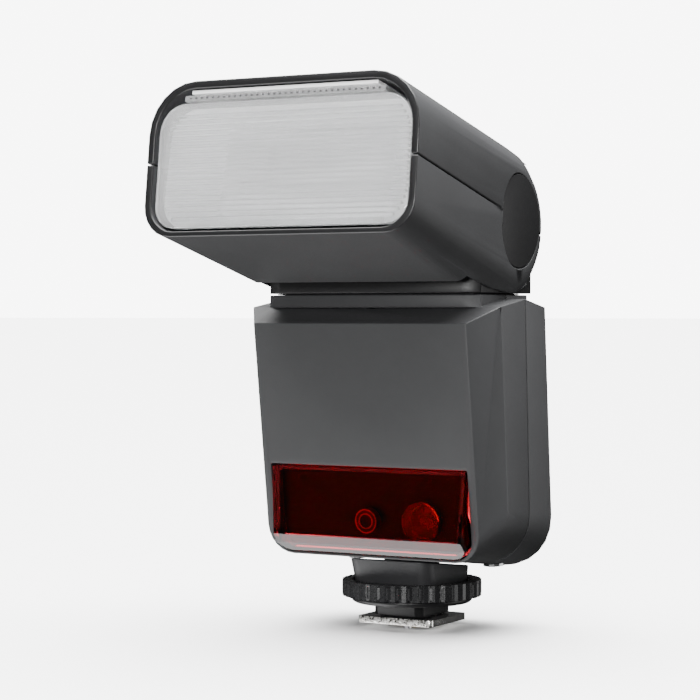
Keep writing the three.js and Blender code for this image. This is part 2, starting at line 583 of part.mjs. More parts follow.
const BUTTONS = [[-BUTTON_X, 23], [-BUTTON_X, 14.5], [BUTTON_X, 23], [BUTTON_X, 14.5]];
const TEST = { x: 17.5, z: 6.3, radius: 2.4 };
const SWITCH = { x: -16, z: 6.0, width: 6, height: 2.6, travel: 4 };
const buttonShape = (grow) => ([x, z]) => rounded(x - BUTTON_WIDTH / 2 - grow, x + BUTTON_WIDTH / 2 + grow,
  z - BUTTON_HEIGHT / 2 - grow, z + BUTTON_HEIGHT / 2 + grow, 1.6 + grow);
const SCREWS = [[-17, 7], [17, 7]];
const SCREW_HEAD = 2.3;
const SCREW_SHANK = 1.1;
const SCREW_RECESS = 0.9;
const SCREW_LENGTH = 5.5;

function rearCover() {
  const behind = box(-60, 60, GAP / 2, 60, -20, 90);
  const through = [10, BODY_REAR + 5];
  const displayHole = slab(rounded(-DISPLAY_WIDTH / 2 - GAP, DISPLAY_WIDTH / 2 + GAP, DISPLAY_LOW - GAP,
    DISPLAY_LOW + DISPLAY_HEIGHT + GAP, 1.5), 'y', ...through);
  const buttonHoles = BUTTONS.map((place) => slab(buttonShape(GAP)(place), 'y', ...through, 2));
  const dialHole = rod('y', DIAL_RADIUS + GAP, 0, DIAL_Z, ...through, 20);
  const testHole = rod('y', TEST.radius + GAP, TEST.x, TEST.z, ...through, 8);
  const slot = box(SWITCH.x - SWITCH.width / 2 - GAP, SWITCH.x + SWITCH.width / 2 + SWITCH.travel + GAP,
    ...through, SWITCH.z - SWITCH.height / 2 - GAP, SWITCH.z + SWITCH.height / 2 + GAP);
  const screwHoles = SCREWS.flatMap(([x, y]) => [rod('z', SCREW_SHANK + GAP, x, y, -6, 6, 6),
    rod('z', SCREW_HEAD + GAP, x, y, -6, FLOOR_AT(y) + SCREW_RECESS, 8)]);
  const panel = [displayHole, ...buttonHoles, dialHole, testHole, slot];
  return cut(common(bodyShell(), behind), panel, screwHoles, sideOpenings());
}

add(bodyGroup, 'body_front_cover', frontCover(), MATERIAL.housing);
add(bodyGroup, 'body_rear_cover', rearCover(), MATERIAL.housing);
add(bodyGroup, 'af_window', windowPiece(), MATERIAL.red);
function latchSlot() {
  const face = -BODY_WIDTH / 2;
  const half = LATCH.width / 2 + GAP;
  const low = FLAP.door.z1 - LATCH.height - LATCH.travel - GAP;
  const depth = face + LATCH.thickness + GAP;
  return inSide(box(face - 1, depth, PACK_Y - half, PACK_Y + half, low, FLAP.door.z1 + 1));
}

/** The door's sliding latch: a thumb rib and a tongue towards the upper edge. */
function latchPiece() {
  const face = -BODY_WIDTH / 2;
  const [half, top, rib] = [LATCH.width / 2, FLAP.door.z1, LATCH.rib];
  const middle = top - LATCH.height / 2;
  const plate = box(face, face + LATCH.thickness, PACK_Y - half, PACK_Y + half, top - LATCH.height, top);
  return inSide(join(plate, box(face - rib, face + SINK, PACK_Y - half + rib, PACK_Y + half - rib,
    middle - rib, middle + rib)));
}

add(bodyGroup, 'battery_door', cut(flapPiece(FLAP.door), latchSlot()), MATERIAL.housing);
add(bodyGroup, 'battery_latch', latchPiece(), MATERIAL.key);
add(bodyGroup, 'usb_cover', flapPiece(FLAP.usb), MATERIAL.rubber);

SCREWS.forEach(([x, y], i) => {
  const top = FLOOR_AT(y) + SCREW_RECESS - GAP;
  add(bodyGroup, `body_screw_${i + 1}`, join(rod('z', SCREW_HEAD, x, y, top - 0.6, top, 12),
    rod('z', SCREW_SHANK, x, y, top - 0.2, top + SCREW_LENGTH, 10)), MATERIAL.steel);
});

// ---------------------------------------------------------------- rear panel
const keyStem = BOARD_FACE + 1.2;
/** A key with a retaining flange behind the panel and a stem to its switch. */
function key(shapeAt, place, stemRadius) {
  const flange = slab(shapeAt(KEY_FLANGE)(place), 'y', REAR_INNER - GAP - 0.9, REAR_INNER - GAP, 3);
  const cap = slab(shapeAt(0)(place), 'y', REAR_INNER - 0.9, BODY_REAR + BUTTON_PROUD, 3);
  const stem = rod('y', stemRadius, place[0], place[1], keyStem, REAR_INNER - 0.8, 10);
  return join(flange, cap, stem);
}
const roundShape = (radius) => (grow) => ([x, z]) => disc(radius + grow, x, z);

BUTTONS.forEach((place, i) => {
  add(bodyGroup, `function_button_${i + 1}`, key(buttonShape, place, 1.2), MATERIAL.key);
});
add(bodyGroup, 'test_button', key(roundShape(TEST.radius), [TEST.x, TEST.z], 1), MATERIAL.key);
add(bodyGroup, 'power_switch', join(
  box(SWITCH.x - SWITCH.width / 2, SWITCH.x + SWITCH.width / 2, REAR_INNER - 0.9, BODY_REAR + 1.2,
    SWITCH.z - SWITCH.height / 2, SWITCH.z + SWITCH.height / 2),
  box(SWITCH.x - SWITCH.width / 2 - 1, SWITCH.x + SWITCH.width / 2 + 1, REAR_INNER - 1.2, REAR_INNER - GAP,
    SWITCH.z - SWITCH.height / 2 - 0.9, SWITCH.z + SWITCH.height / 2 + 0.9)), MATERIAL.key);

function dialPiece() {
  const ring = rod('y', DIAL_RADIUS, 0, DIAL_Z, REAR_INNER - 1.4, BODY_REAR + 1.4, 24);
  const flange = rod('y', DIAL_RADIUS + 1.0, 0, DIAL_Z, REAR_INNER - 1.4, REAR_INNER - GAP, 24);
  return cut(join(ring, flange), rod('y', SET_RADIUS + GAP, 0, DIAL_Z, 0, BODY_REAR + 9, 20));
}
add(bodyGroup, 'control_dial', dialPiece(), MATERIAL.key);
add(bodyGroup, 'set_button', join(rod('y', SET_RADIUS, 0, DIAL_Z, REAR_INNER - 2.6, BODY_REAR + 1.6, 20),
  rod('y', SET_RADIUS + 1.0, 0, DIAL_Z, REAR_INNER - 2.6, REAR_INNER - 1.4 - GAP, 20),
  rod('y', 1.2, 0, DIAL_Z, keyStem, REAR_INNER - 2, 10)), MATERIAL.key);

const displayShape = (grow) => rounded(-DISPLAY_WIDTH / 2 - grow, DISPLAY_WIDTH / 2 + grow,
  DISPLAY_LOW - grow, DISPLAY_LOW + DISPLAY_HEIGHT + grow, 1.2);
const displayBack = BODY_REAR - DISPLAY_PANE;
const moduleHalf = DISPLAY_WIDTH / 2 - DISPLAY_BORDER;
add(bodyGroup, 'display_window', slab(displayShape(0), 'y', displayBack, BODY_REAR, 4), MATERIAL.clear);
add(bodyGroup, 'display_module', box(-moduleHalf, moduleHalf, BOARD_FACE + GAP, displayBack - GAP,
  DISPLAY_LOW + DISPLAY_BORDER, DISPLAY_LOW + DISPLAY_HEIGHT - DISPLAY_BORDER), MATERIAL.display);

// ---------------------------------------------------------------- inside the body
const roofInside = (y) => BODY_HEIGHT - WALL - ROOF_REAR_SLOPE * y;
function mainBoard() {
  const [half, low, high] = [BODY_WIDTH / 2 - WALL - BOARD_INSET, WALL + 1.2, roofInside(BOARD_FACE) - 1.5];
  const shape = rounded(-half, half, low, high, [BODY_CORNER, BODY_CORNER, 1, 1]);
  return slab(shape, 'y', BOARD_FACE - BOARD_THICKNESS, BOARD_FACE, 6);
}

function batteryTray() {
  const grow = GAP + 0.1;
  const around = (skin, x0, x1) =>
    box(x0, x1, PACK.y0 - skin, PACK.y1 + skin, PACK.z0 - skin, PACK.z1 + skin);
  const end = PACK.x1 + CONTACT_SPACE;
  return cut(around(grow + TRAY_WALL, PACK.x0 + 0.8, end + TRAY_WALL), around(grow, PACK.x0 - 5, end));
}

add(bodyGroup, 'main_board', mainBoard(), MATERIAL.board);
add(bodyGroup, 'battery_tray', batteryTray(), MATERIAL.trim);
const packForm = slab(rounded(PACK.y0, PACK.y1, PACK.z0, PACK.z1, 2), 'x', PACK.x0, PACK.x1, 4);
add(bodyGroup, 'battery_pack', packForm, MATERIAL.cell);
add(bodyGroup, 'battery_contacts', box(PACK.x1 + GAP, PACK.x1 + CONTACT_SPACE - GAP, PACK_Y - 5, PACK_Y + 5,
  PACK.z0 + 6, PACK.z1 - 6), MATERIAL.brass);
const capacitorPlace = [-7.2, PACK.z1 + GAP + TRAY_WALL + 0.7 + CAPACITOR_RADIUS];
const capacitor = rod('x', CAPACITOR_RADIUS, ...capacitorPlace, -CAPACITOR_LENGTH / 2, CAPACITOR_LENGTH / 2);
add(bodyGroup, 'main_capacitor', capacitor, MATERIAL.sleeve);
const transformerRear = PACK.y0 - GAP - TRAY_WALL - GAP - 0.2;
const { width, depth, low, height } = TRANSFORMER;
const transformer = box(-width / 2, width / 2, transformerRear - depth, transformerRear, low, low + height);
add(bodyGroup, 'charge_transformer', transformer, MATERIAL.cell);
const usbFace = -BODY_WIDTH / 2 + FLAP.usb.thickness + 2 * GAP;
add(bodyGroup, 'usb_port', inSide(box(usbFace, usbFace + USB.length, -USB.width / 2, USB.width / 2,
  USB.z - USB.height / 2, USB.z + USB.height / 2)), MATERIAL.steel);

// behind the window
const CARRIER = { y: FRONT_AT(0) + WALL + 0.4, thickness: 1.2 };
const SENSOR = { x: -1.0, z: 10.3, radius: 2.6 };
const LAMP = { x: 11.9, z: 10.3, radius: 4.4 };
function windowCarrier() {
  const low = FLOOR_AT(CARRIER.y) + WALL + 2 * GAP;
  const half = WINDOW_WIDTH / 2 - WINDOW_WALL - GAP;
  const outline = rounded(-half, half, low, WINDOW_TOP - 0.6, 2.5);
  const plate = slab(outline, 'y', CARRIER.y, CARRIER.y + CARRIER.thickness, 4);
  const sensorHole = rod('y', SENSOR.radius - 0.6, SENSOR.x, SENSOR.z, -30, 0, 10);
  const lampHole = rod('y', LAMP.radius - 0.8, LAMP.x, LAMP.z, -30, 0, 10);
  return cut(plate, sensorHole, lampHole);
}
add(bodyGroup, 'window_carrier', windowCarrier(), MATERIAL.trim);
const sensorBarrel = rod('y', SENSOR.radius, SENSOR.x, SENSOR.z, CARRIER.y - 2.2, CARRIER.y - GAP, 20);
const sensorCup = rod('y', SENSOR.radius - 0.9, SENSOR.x, SENSOR.z, CARRIER.y - 3, CARRIER.y - 1.2, 16);
add(bodyGroup, 'optical_sensor', cut(sensorBarrel, sensorCup), MATERIAL.key);
const lampLens = rod('y', LAMP.radius, LAMP.x, LAMP.z, CARRIER.y - 2.0, CARRIER.y - GAP, 20);
add(bodyGroup, 'assist_lamp_lens', lampLens, MATERIAL.clear);
const ledFace = CARRIER.y + CARRIER.thickness + GAP;
add(bodyGroup, 'assist_lamp_led', rod('y', 1.5, LAMP.x, LAMP.z, ledFace, ledFace + 3.1, 12), MATERIAL.red);

// ---------------------------------------------------------------- swivel and tilt knuckle
/** The swivelling block between the head's ears: a drum on a chamfered base, and a tube into the body. */
function knucklePiece() {
  const baseLow = COLLAR_TOP + GAP;
  const baseHigh = COLLAR_TOP + KNUCKLE_BASE;
  const [front, rear] = [SWIVEL_Y - COLLAR_DEPTH / 2, BASE_REAR];
  const profile = (radius, inset) => {
    const shape = new THREE.Shape();
    shape.moveTo(front + inset, baseLow + inset);
    shape.lineTo(rear - inset, baseLow + inset);
    const rearAngle = -Math.acos((rear - inset - PIVOT_Y) / radius);
    shape.lineTo(rear - inset, PIVOT_Z + radius * Math.sin(rearAngle));
    const frontAngle = tangentAngle(front + inset, baseHigh + inset, radius);
    shape.absarc(PIVOT_Y, PIVOT_Z, radius, rearAngle, frontAngle, false);
    shape.lineTo(front + inset, baseHigh + inset);
    return shape;
  };
  const block = common(slab(profile(KNUCKLE_RADIUS, 0), 'x', -KNUCKLE_HALF, KNUCKLE_HALF, 24),
    slab(knucklePlan(), 'z', baseLow - 1, PIVOT_Z + 40));
  const inner = KNUCKLE_HALF - WALL;
  const hollow = slab(profile(KNUCKLE_RADIUS - WALL, WALL), 'x', -inner, inner, 24);
  const tube = rod('z', SWIVEL_TUBE_RADIUS, 0, SWIVEL_Y, RETAINER_LOW - 0.8, baseLow + 1);
  const bore = rod('z', SWIVEL_TUBE_BORE, 0, SWIVEL_Y, RETAINER_LOW - 2, baseLow + WALL + 1);
  const shaftHole = rod('x', TILT_SHAFT_RADIUS + GAP, PIVOT_Y, PIVOT_Z, -40, 40, 20);
  return cut(join(cut(block, hollow), tube), bore, shaftHole);
}

/** The angle on the drum where a line from a point below and ahead of it is tangent. */
function tangentAngle(y, z, radius) {
  const [dy, dz] = [y - PIVOT_Y, z - PIVOT_Z];
  return Math.atan2(dz, dy) + 2 * Math.PI - Math.acos(radius / Math.hypot(dy, dz));
}

/** The collar's plan ahead, and straight sides behind where the drum overhangs. */
function knucklePlan() {
  const [w, d, cx, cy] = [COLLAR_WIDTH / 2, COLLAR_DEPTH / 2, COLLAR_CHAMFER_X, COLLAR_CHAMFER_Y];
  const far = PIVOT_Y + KNUCKLE_RADIUS + 2;
  return polygon([[w - cx, SWIVEL_Y - d], [w, SWIVEL_Y - d + cy], [w, far], [-w, far],
    [-w, SWIVEL_Y - d + cy], [-w + cx, SWIVEL_Y - d]]);
}

add(part, 'swivel_knuckle', knucklePiece(), MATERIAL.trim);
add(part, 'swivel_retainer', cut(rod('z', RETAINER_RADIUS, 0, SWIVEL_Y, RETAINER_LOW, RETAINER_TOP),
  rod('z', SWIVEL_TUBE_RADIUS + 0.12, 0, SWIVEL_Y, RETAINER_LOW - 1, RETAINER_TOP + 1)), MATERIAL.steel);
add(part, 'tilt_detent_spring', box(-4, 4, PIVOT_Y - SPRING_Y - DETENT_SPRING.thickness,
  PIVOT_Y - SPRING_Y, PIVOT_Z - DETENT_SPRING.half, PIVOT_Z + DETENT_SPRING.half), MATERIAL.steel);

// ---------------------------------------------------------------- head covers
/** The head's form: the tightest skin round a rounded front and a soft-rimmed drum. skin takes a wall off. */
function headForm(skin) {
  const front = ringPoints(HEAD_WIDTH / 2 - skin, HEAD_BOTTOM + skin, HEAD_TOP - skin,
    HEAD_CORNER_BOTTOM - skin, HEAD_CORNER_TOP - skin).map(([x, z]) => vec(x, HEAD_FACE_AT(z), z));
  const mouth = skin > 0 ? front.map((p) => vec(p.x, p.y - 8, p.z)) : [];
  const drum = drumPoints(DRUM_RADIUS - skin, DRUM_HALF - skin, DRUM_RIM - skin);
  return new ConvexGeometry([...mouth, ...front, ...drum]);
}

/** Points over a drum with round rims, its middle a little ahead of the tilt axis and below it. */
function drumPoints(radius, half, rim) {
  const [rimSteps, sides] = [4, 40];
  const points = [];
  for (let i = 0; i <= rimSteps; i += 1) {
    const bend = 90 * i / rimSteps * DEG;
    const [x, r] = [half - rim + rim * Math.sin(bend), radius - rim + rim * Math.cos(bend)];
    for (let k = 0; k < sides; k += 1) {
      const angle = 2 * Math.PI * k / sides;
      const [y, z] = [r * Math.cos(angle) - DRUM_AHEAD, r * Math.sin(angle) - DRUM_BELOW];
      points.push(vec(-x, y, z), vec(x, y, z));
    }
  }
  return points;
}

/** The opening that the knuckle fills. Its web ends where the base's rear edge passes at full tilt. */
function knuckleOpening() {
  const ahead = Math.hypot(SWIVEL_Y - COLLAR_DEPTH / 2 - PIVOT_Y, PIVOT_Z - COLLAR_TOP) + GAP - 5;
  const baseRear = Math.acos((BASE_REAR - PIVOT_Y) / KNUCKLE_RADIUS);
  const webEnd = (KNUCKLE_RADIUS + GAP) * Math.cos(TILT_UP + HEAD_REST + 2 * DEG - baseRear);
  return [
    box(-EAR_INNER, EAR_INNER, -ahead, 30, -30, 0),
    rod('x', KNUCKLE_RADIUS + GAP, 0, 0, -EAR_INNER, EAR_INNER, 30),
    box(-EAR_INNER, EAR_INNER, webEnd, 30, -1, 30),
  ];
}

/** All of the space on one side of the cover split, half a gap away from it. */
function seamBlock(sign) {
  const [near, far] = [HEAD_SEAM + sign * GAP / 2, sign * 60];
  return box(-60, 60, -HEAD_LENGTH - 20, DRUM_RADIUS + 10, Math.min(near, far), Math.max(near, far));
}

/** A disc on the end of the drum, about the tilt axis. */
function capBlank(sign, radius, depth, proud) {
  const ends = [sign * (DRUM_HALF - depth), sign * (DRUM_HALF + proud)];
  return rod('x', radius, 0, 0, Math.min(...ends), Math.max(...ends), 36);
}

/** What the head gives up to clear the collar: below it when tilted down, and behind as it tilts up. */
function tiltRelief() {
  const swivelSweep = Math.hypot(BODY_WIDTH / 2, COLLAR_DEPTH / 2);
  const quarter = box(-60, 60, PIVOT_Y, PIVOT_Y + 40, 40, PIVOT_Z);
  const behind = cut(quarter, rod('x', EAR_REACH, PIVOT_Y, PIVOT_Z, -61, 61, 48));
  return [inLowestHead(rod('z', swivelSweep, 0, SWIVEL_Y, 40, COLLAR_TOP + GAP)), inLowestHead(behind)];
}

function headShell() {
  const earLiners = [-1, 1].map((side) => common(headForm(SINK), box(Math.min(side * EAR_INNER, side * 60),
    Math.max(side * EAR_INNER, side * 60), -DRUM_RADIUS - 2, 30, -30, 30)));
  const shell = join(cut(headForm(0), headForm(HEAD_WALL)), earLiners);
  const shaftHole = rod('x', TILT_SHAFT_RADIUS + GAP, 0, 0, -60, 60, 20);
  const seat = [PIVOT_CAP_RADIUS + CAP_GAP, PIVOT_CAP_THICKNESS + CAP_GAP];
  const capSeats = [-1, 1].map((sign) => capBlank(sign, ...seat, 1));
  return cut(shell, knuckleOpening(), tiltRelief(), shaftHole, capSeats);
}

function headTopCover() {
  return common(headShell(), seamBlock(1));
}

function headBottomCover() {
  return common(headShell(), seamBlock(-1));
}

add(headGroup, 'head_top_cover', headTopCover(), MATERIAL.housing);
add(headGroup, 'head_bottom_cover', headBottomCover(), MATERIAL.housing);
const SHAFT_END = EAR_INNER - 6;
for (const [name, sign] of [['left', -1], ['right', 1]]) {
  const cap = capBlank(sign, PIVOT_CAP_RADIUS, PIVOT_CAP_THICKNESS, 0);
  add(headGroup, `pivot_cap_${name}`, cap, MATERIAL.trim);
  const ends = [sign * SHAFT_END, sign * (DRUM_HALF - PIVOT_CAP_THICKNESS - 3 * GAP)];
  const shaft = rod('x', TILT_SHAFT_RADIUS, 0, 0, Math.min(...ends), Math.max(...ends), 20);
  add(headGroup, `tilt_shaft_${name}`, shaft, MATERIAL.steel);
}
const detentDisc = rod('x', DETENT_RADIUS, 0, 0, SHAFT_END - GAP - DETENT_THICKNESS, SHAFT_END - GAP, 18);
add(headGroup, 'tilt_detent_disc', detentDisc, MATERIAL.steel);

// ---------------------------------------------------------------- head optics
const FACE_TILT = new THREE.Matrix4().makeRotationX(HEAD_RAKE);
const CARD_TOP = Math.min(HEAD_TOP, DRUM_RADIUS - DRUM_BELOW) - HEAD_WALL;
const DIFFUSER_TOP = CARD_TOP - CARD_THICKNESS - GAP;
const LENS_TOP = DIFFUSER_TOP - DIFFUSER_THICKNESS - 2 * GAP;
const LENS_LOW = HEAD_BOTTOM + HEAD_WALL + GAP;
const LENS_HALF = HEAD_WIDTH / 2 - HEAD_WALL - GAP - 0.2;

/** The front lens follows the raked face. */
function frontLens() {
  const low = HEAD_CORNER_BOTTOM - HEAD_WALL - GAP;
  const high = HEAD_CORNER_TOP - HEAD_WALL - GAP - 3;
  const outline = rounded(-LENS_HALF, LENS_HALF, LENS_LOW, LENS_TOP, [low, low, high, high]);
  const middle = (LENS_TOP + LENS_LOW) / 2;
  return slab(outline, 'y', 0, LENS_THICKNESS, 6).translate(0, 0, -middle).applyMatrix4(FACE_TILT)
    .translate(0, HEAD_FACE_AT(middle) + LENS_RECESS, middle);
}

/** The reflector: a trough open to the front, round in side view, with a hole in each end for the tube. */
function reflectorPiece() {
  const trough = (skin) => {
    const shape = new THREE.Shape();
    const half = REFLECTOR_HEIGHT / 2 - skin;
    const front = -REFLECTOR_DEPTH - (skin > 0 ? 5 : 0);
    shape.moveTo(front, -half);
    shape.lineTo(-REFLECTOR_DEPTH * 0.75, -half);
    shape.quadraticCurveTo(-skin, -half * 0.8, -skin, 0);
    shape.quadraticCurveTo(-skin, half * 0.8, -REFLECTOR_DEPTH * 0.75, half);
    shape.lineTo(front, half);
    return shape;
  };
  const w = REFLECTOR_WIDTH / 2;
  const outer = slab(trough(0), 'x', -w, w, 10);
  const inner = slab(trough(REFLECTOR_WALL), 'x', -w + REFLECTOR_WALL, w - REFLECTOR_WALL, 10);
  const holes = rod('x', TUBE_RADIUS + GAP, -TUBE_FOCUS, 0, -w - 2, w + 2, 12);
  return cut(outer, inner, holes);
}

const TUBE_FOCUS = 4.6;
const REFLECTOR_BACK = -HEAD_LENGTH + 26;
const carriage = REFLECTOR_BACK + GAP;
const screwPlace = [REFLECTOR_WIDTH / 2 + 4.4, -4.5];
const guidePlaces = [[-REFLECTOR_WIDTH / 2 - 2.2, 6], [REFLECTOR_WIDTH / 2 + 2.2, 8]];
const SCREW_BEHIND = carriage + ZOOM_TRAVEL + 3;

function carriagePiece() {
  const plate = box(guidePlaces[0][0] - 2.2, screwPlace[0] + 2.4, carriage, carriage + 1.6, -8, 10.4);
  const bore = (radius, [x, z]) => rod('y', radius + GAP, x, z, carriage - 2, carriage + 4, 8);
  return cut(plate, guidePlaces.map((place) => bore(GUIDE_RADIUS, place)), bore(SCREW_RADIUS, screwPlace));
}

add(headGroup, 'front_lens', frontLens(), MATERIAL.clear);
add(headGroup, 'reflector', reflectorPiece().translate(0, REFLECTOR_BACK, 0), MATERIAL.mirror);
add(headGroup, 'flash_tube', rod('x', TUBE_RADIUS, REFLECTOR_BACK - TUBE_FOCUS, 0, -REFLECTOR_WIDTH / 2 - 1.4,
  REFLECTOR_WIDTH / 2 + 1.4, 12), MATERIAL.clear);
add(headGroup, 'zoom_carriage', carriagePiece(), MATERIAL.trim);
guidePlaces.forEach(([x, z], i) => {
  const guide = rod('y', GUIDE_RADIUS, x, z, carriage - 6, SCREW_BEHIND, 10);
  add(headGroup, `guide_rod_${i + 1}`, guide, MATERIAL.steel);
});
const screwAhead = carriage - 4;
const leadScrew = rod('y', SCREW_RADIUS, ...screwPlace, screwAhead, SCREW_BEHIND, 12);
add(headGroup, 'zoom_lead_screw', leadScrew, MATERIAL.steel);
const motor = rod('y', MOTOR.radius, ...screwPlace, screwAhead - GAP - MOTOR.length, screwAhead - GAP, 20);
add(headGroup, 'zoom_motor', motor, MATERIAL.steel);
const coilPlace = [-REFLECTOR_WIDTH / 2 - COIL.radius - 2, -5.5];
const coil = rod('y', COIL.radius, ...coilPlace, screwAhead - COIL.length, screwAhead, 16);
add(headGroup, 'trigger_coil', coil, MATERIAL.sleeve);

/** A flat sheet that slides out of the front, its leading edge a little inside the face. */
function sheet(width, length, thickness, top, recess) {
  const front = HEAD_FACE_AT(CARD_TOP) + recess;
  return box(-width / 2, width / 2, front, front + length, top - thickness - GAP, top - GAP);
}
const card = sheet(CARD_WIDTH, CARD_LENGTH, CARD_THICKNESS, CARD_TOP, 0.5);
add(headGroup, 'catchlight_card', card, MATERIAL.card);
const panel = sheet(DIFFUSER_WIDTH, DIFFUSER_LENGTH, DIFFUSER_THICKNESS, DIFFUSER_TOP, 0.7);
add(headGroup, 'wide_panel', panel, MATERIAL.diffuser);

export default part;
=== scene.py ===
# %% [markdown]
# # A shoe-mount speedlight
# A small flash has a moulded battery body, a zoom head that tilts and swivels over it, and a metal shoe foot
# under a ribbed lock ring. The frame below holds every piece at its true size. This lesson gives those pieces
# soft moulded edges, the prisms of the flash lens, the ribs of the ring and a finish for each material.
# Loading the frame first means that everything made later can be placed by measuring it.

# %% Load the fixed frame
import json
import math

import bmesh
import bpy
from mathutils import Matrix, Vector


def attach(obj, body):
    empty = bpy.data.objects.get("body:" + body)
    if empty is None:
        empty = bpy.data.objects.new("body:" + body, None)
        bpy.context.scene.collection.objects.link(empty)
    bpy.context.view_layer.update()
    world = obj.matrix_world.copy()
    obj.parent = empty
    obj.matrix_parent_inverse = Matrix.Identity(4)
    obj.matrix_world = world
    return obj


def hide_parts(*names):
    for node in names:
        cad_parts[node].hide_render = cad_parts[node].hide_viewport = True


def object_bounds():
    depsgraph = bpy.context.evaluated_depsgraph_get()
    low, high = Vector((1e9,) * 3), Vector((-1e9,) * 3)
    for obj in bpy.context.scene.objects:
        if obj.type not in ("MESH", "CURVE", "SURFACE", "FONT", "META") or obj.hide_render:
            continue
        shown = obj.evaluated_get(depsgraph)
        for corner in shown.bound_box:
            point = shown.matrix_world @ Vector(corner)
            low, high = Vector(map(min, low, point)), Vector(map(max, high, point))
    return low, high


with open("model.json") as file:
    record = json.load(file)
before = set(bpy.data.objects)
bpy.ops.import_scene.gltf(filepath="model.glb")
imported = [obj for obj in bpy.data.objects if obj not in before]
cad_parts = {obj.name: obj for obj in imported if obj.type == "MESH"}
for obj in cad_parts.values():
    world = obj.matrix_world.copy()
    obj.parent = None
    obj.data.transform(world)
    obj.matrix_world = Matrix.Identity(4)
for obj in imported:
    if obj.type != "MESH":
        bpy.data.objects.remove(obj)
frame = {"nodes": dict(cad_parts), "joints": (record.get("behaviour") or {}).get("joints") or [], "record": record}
cad_low, cad_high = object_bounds()
MM = 0.001
print("frame", len(frame["nodes"]), "nodes", [round(v * 1000, 1) for v in cad_high - cad_low], "mm")

# %% [markdown]
# ## The camera
# The flash is seen from its front left corner, almost level with the middle of the body, through a long lens.
# An azimuth, an elevation and a distance say this more plainly than a position does, so the position is worked
# out from them. A long lens at half a metre keeps the sides nearly parallel, as in product pictures.

# %% Camera
VIEW_AZIMUTH = math.radians(30.547)
VIEW_ELEVATION = math.radians(0.921)
VIEW_DISTANCE = 0.50189
VIEW_TARGET = Vector((-0.01579, 0, 0.05929))
LENS_LENGTH = 115.87

camera = bpy.data.objects.new("camera", bpy.data.cameras.new("camera"))
bpy.context.scene.collection.objects.link(camera)
away = Vector((math.sin(VIEW_AZIMUTH) * math.cos(VIEW_ELEVATION),
               -math.cos(VIEW_AZIMUTH) * math.cos(VIEW_ELEVATION), math.sin(VIEW_ELEVATION)))
camera.location = VIEW_TARGET + away * VIEW_DISTANCE
camera.rotation_euler = away.to_track_quat("Z", "Y").to_euler()
camera.data.lens = LENS_LENGTH
camera.data.sensor_width = 36
camera.data.clip_start = 0.01
bpy.context.scene.camera = camera
print("camera at", [round(v, 3) for v in camera.location])

# %% [markdown]
# ## Two tilted frames
# The body leans forward over its foot and the head is tilted up, so their faces aren't square to the world.
# The joints know both directions: the keys press straight into the body, and the wide panel slides straight
# out of the head. A frame built on those directions makes each part's faces square again.

# %% Frames of the body and the head
joints = {joint["name"]: joint for joint in frame["joints"]}


def frame_facing(origin, forward):
    """A matrix whose -Y points forward, whose X is the world's, and whose origin is given."""
    x_axis = Vector((1, 0, 0))
    y_axis = -Vector(forward).normalized()
    z_axis = x_axis.cross(y_axis)
    turn = Matrix((x_axis, y_axis, z_axis)).transposed().to_4x4()
    return Matrix.Translation(Vector(origin)) @ turn


HEAD = frame_facing(joints["head_tilt"]["pos_m"], joints["wide_panel_slide"]["axis"])
BODY = frame_facing(joints["control_dial_turn"]["pos_m"], joints["set_button_press"]["axis"])
body_of = {node: body for body, nodes in frame["record"]["behaviour"]["bodies"].items() for node in nodes}
slot_of = {row["node"]: row["material_slot"] for row in frame["record"]["subparts"]}


def local_box(node, space):
    """The lowest and highest corner of a node in a tilted frame."""
    to_local = space.inverted()
    points = [to_local @ v.co for v in frame["nodes"][node].data.vertices]
    low = Vector(min(p[k] for p in points) for k in range(3))
    high = Vector(max(p[k] for p in points) for k in range(3))
    return low, high


lens_corners = local_box("front_lens", HEAD)
print("lens in the head's frame", [[round(v * 1000, 2) for v in corner] for corner in lens_corners])

# %% [markdown]
# ## Finishes
# The covers are dark moulded plastic with a fine spark texture, which breaks up the light at about a quarter of
# a millimetre. One function builds that finish from noise on Object coordinates, which are metres here, so the
# scale of the grain is true. A slow second noise varies colour and gloss a little, as moulding does.

# %% A helper for shader nodes
def shader(name):
    """A new material with an empty principled surface: its tree, its surface node and its Object coordinates."""
    material = bpy.data.materials.new(name)
    material.use_nodes = True
    tree = material.node_tree
    surface = tree.nodes["Principled BSDF"]
    place = tree.nodes.new("ShaderNodeTexCoord").outputs["Object"]
    return material, tree, surface, place


def noise(tree, place, size_mm, detail=3.0):
    """Noise with features about size_mm across."""
    node = tree.nodes.new("ShaderNodeTexNoise")
    node.inputs["Scale"].default_value = 1000 / size_mm
    node.inputs["Detail"].default_value = detail
    tree.links.new(place, node.inputs["Vector"])
    return node.outputs["Fac"]


def spread(tree, value, low, high):
    """Noise stretched to run between two numbers."""
    node = tree.nodes.new("ShaderNodeMapRange")
    node.inputs["From Min"].default_value = 0.3
    node.inputs["From Max"].default_value = 0.7
    node.inputs["To Min"].default_value = low
    node.inputs["To Max"].default_value = high
    tree.links.new(value, node.inputs["Value"])
    return node.outputs["Result"]


def blend_colours(tree, share, first, second):
    node = tree.nodes.new("ShaderNodeMix")
    node.data_type = "RGBA"
    node.inputs[6].default_value = (*first, 1)
    node.inputs[7].default_value = (*second, 1)
    tree.links.new(share, node.inputs[0])
    return node.outputs[2]


def bumped(tree, surface, height, depth_mm, strength=1.0):
    node = tree.nodes.new("ShaderNodeBump")
    node.inputs["Strength"].default_value = strength
    node.inputs["Distance"].default_value = depth_mm * MM
    tree.links.new(height, node.inputs["Height"])
    tree.links.new(node.outputs["Normal"], surface.inputs["Normal"])


